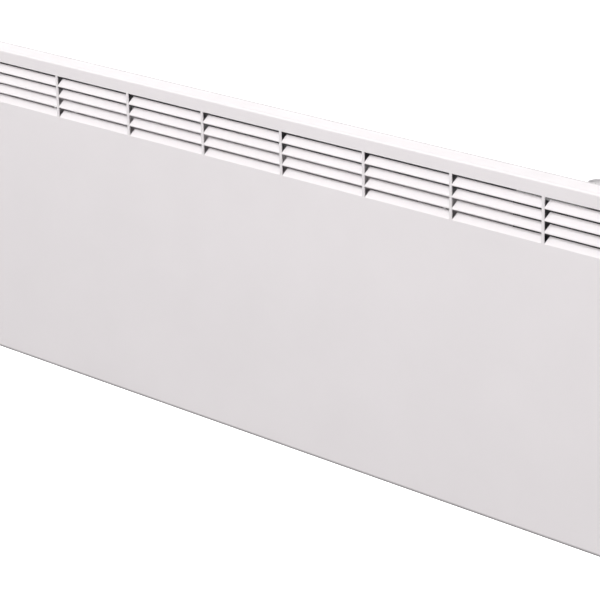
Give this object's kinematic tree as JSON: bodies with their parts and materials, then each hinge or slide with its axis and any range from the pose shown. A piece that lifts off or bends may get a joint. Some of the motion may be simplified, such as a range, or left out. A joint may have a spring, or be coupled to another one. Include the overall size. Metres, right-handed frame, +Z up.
{
  "type": "electric panel heater",
  "caption": "Low white electric panel heater with louvres along its top edge, a thermostat dial behind it and a wall bracket that it lifts off.",
  "frame": {"origin": "on the wall's surface, at the middle of the wall bracket's crossbar, half way up the heater", "axes": "+X to the right of a person who faces the heater, +Y into the wall, +Z up; the front face looks along -Y"},
  "size_m": [1.275, 0.088, 0.4],
  "materials": {
    "white_powder_coat": "satin powder coat, fine orange peel",
    "galvanised_sheet": "galvanised, faint spangle",
    "extruded_aluminium": "extruded, drawn lines along the length",
    "stainless_sheath": "stainless steel, heat tinted",
    "ceramic": "steatite ceramic, matt",
    "white_plastic": "moulded, fine texture",
    "grey_plastic": "moulded, fine texture",
    "black_plastic": "moulded, satin",
    "circuit_board": "green solder mask",
    "indicator_red": "clear red lens",
    "black_rubber": "matt rubber",
    "zinc_screw": "zinc plated",
    "brown_lead": "PVC sleeve",
    "blue_lead": "PVC sleeve",
    "white_lead": "glass-fibre and silicone sleeve",
    "green_lead": "PVC sleeve, green and yellow",
    "black_lead": "PVC sleeve"
  },
  "bodies": {
    "wall_bracket": {"wall_bracket": "white_powder_coat"},
    "heater": {"front_cover": "white_powder_coat", "rear_panel": "white_powder_coat", "control_housing_lid": "grey_plastic", "sensor_clip": "grey_plastic", "air_deflector": "galvanised_sheet", "left_element_bracket": "galvanised_sheet", "control_partition": "galvanised_sheet", "left_element_support": "galvanised_sheet", "right_element_support": "galvanised_sheet", "upper_element_profile": "extruded_aluminium", "upper_element_rod": "stainless_sheath", "upper_left_bush": "ceramic", "upper_right_bush": "ceramic", "lower_element_profile": "extruded_aluminium", "lower_element_rod": "stainless_sheath", "lower_left_bush": "ceramic", "lower_right_bush": "ceramic", "control_housing": "black_plastic", "thermal_cutout": "black_plastic", "potentiometer": "black_plastic", "switch_frame": "black_plastic", "relay": "black_plastic", "cable_gland": "black_plastic", "gland_nut": "black_plastic", "room_sensor": "black_plastic", "cutout_clip": "stainless_sheath", "earth_tag": "stainless_sheath", "terminal_block": "white_plastic", "control_board": "circuit_board", "indicator_lens": "indicator_red", "supply_live_lead": "brown_lead", "cutout_feed_lead": "brown_lead", "supply_neutral_lead": "blue_lead", "cutout_return_lead": "white_lead", "element_return_lead": "white_lead", "element_link_lead": "white_lead", "sensor_lead": "black_lead", "earth_lead": "green_lead", "left_wall_bumper": "black_rubber", "right_wall_bumper": "black_rubber", "left_cover_screw_1": "zinc_screw", "left_cover_screw_2": "zinc_screw", "left_cover_screw_3": "zinc_screw", "right_cover_screw_4": "zinc_screw", "right_cover_screw_5": "zinc_screw", "right_cover_screw_6": "zinc_screw", "element_bracket_screw_7": "zinc_screw", "element_bracket_screw_8": "zinc_screw", "partition_screw_9": "zinc_screw", "partition_screw_10": "zinc_screw", "control_housing_screw_11": "zinc_screw", "control_housing_screw_12": "zinc_screw"},
    "dial": {"thermostat_dial": "white_plastic", "dial_shaft": "grey_plastic"},
    "rocker": {"switch_rocker": "black_plastic"},
    "left_lock": {"left_turning_lock": "grey_plastic"},
    "right_lock": {"right_turning_lock": "grey_plastic"}
  },
  "joints": [
    {"name": "heater_lift", "type": "slide", "parent": "wall_bracket", "child": "heater", "axis": [0, 0, 1], "range_m": [0, 0.014]},
    {"name": "dial_turn", "type": "hinge", "parent": "heater", "child": "dial", "pos_m": [0.5376, -0.046, 0.176], "axis": [0, 0, 1], "range_deg": [-270, 0]},
    {"name": "rocker_press", "type": "hinge", "parent": "heater", "child": "rocker", "pos_m": [0.484, -0.0485, 0.173], "axis": [0, 1, 0], "range_deg": [0, 18]},
    {"name": "left_lock_turn", "type": "hinge", "parent": "wall_bracket", "child": "left_lock", "pos_m": [-0.3, -0.024, -0.148], "axis": [0, 1, 0], "range_deg": [0, 90]},
    {"name": "right_lock_turn", "type": "hinge", "parent": "wall_bracket", "child": "right_lock", "pos_m": [0.3, -0.024, -0.148], "axis": [0, -1, 0], "range_deg": [0, 90]}
  ]
}
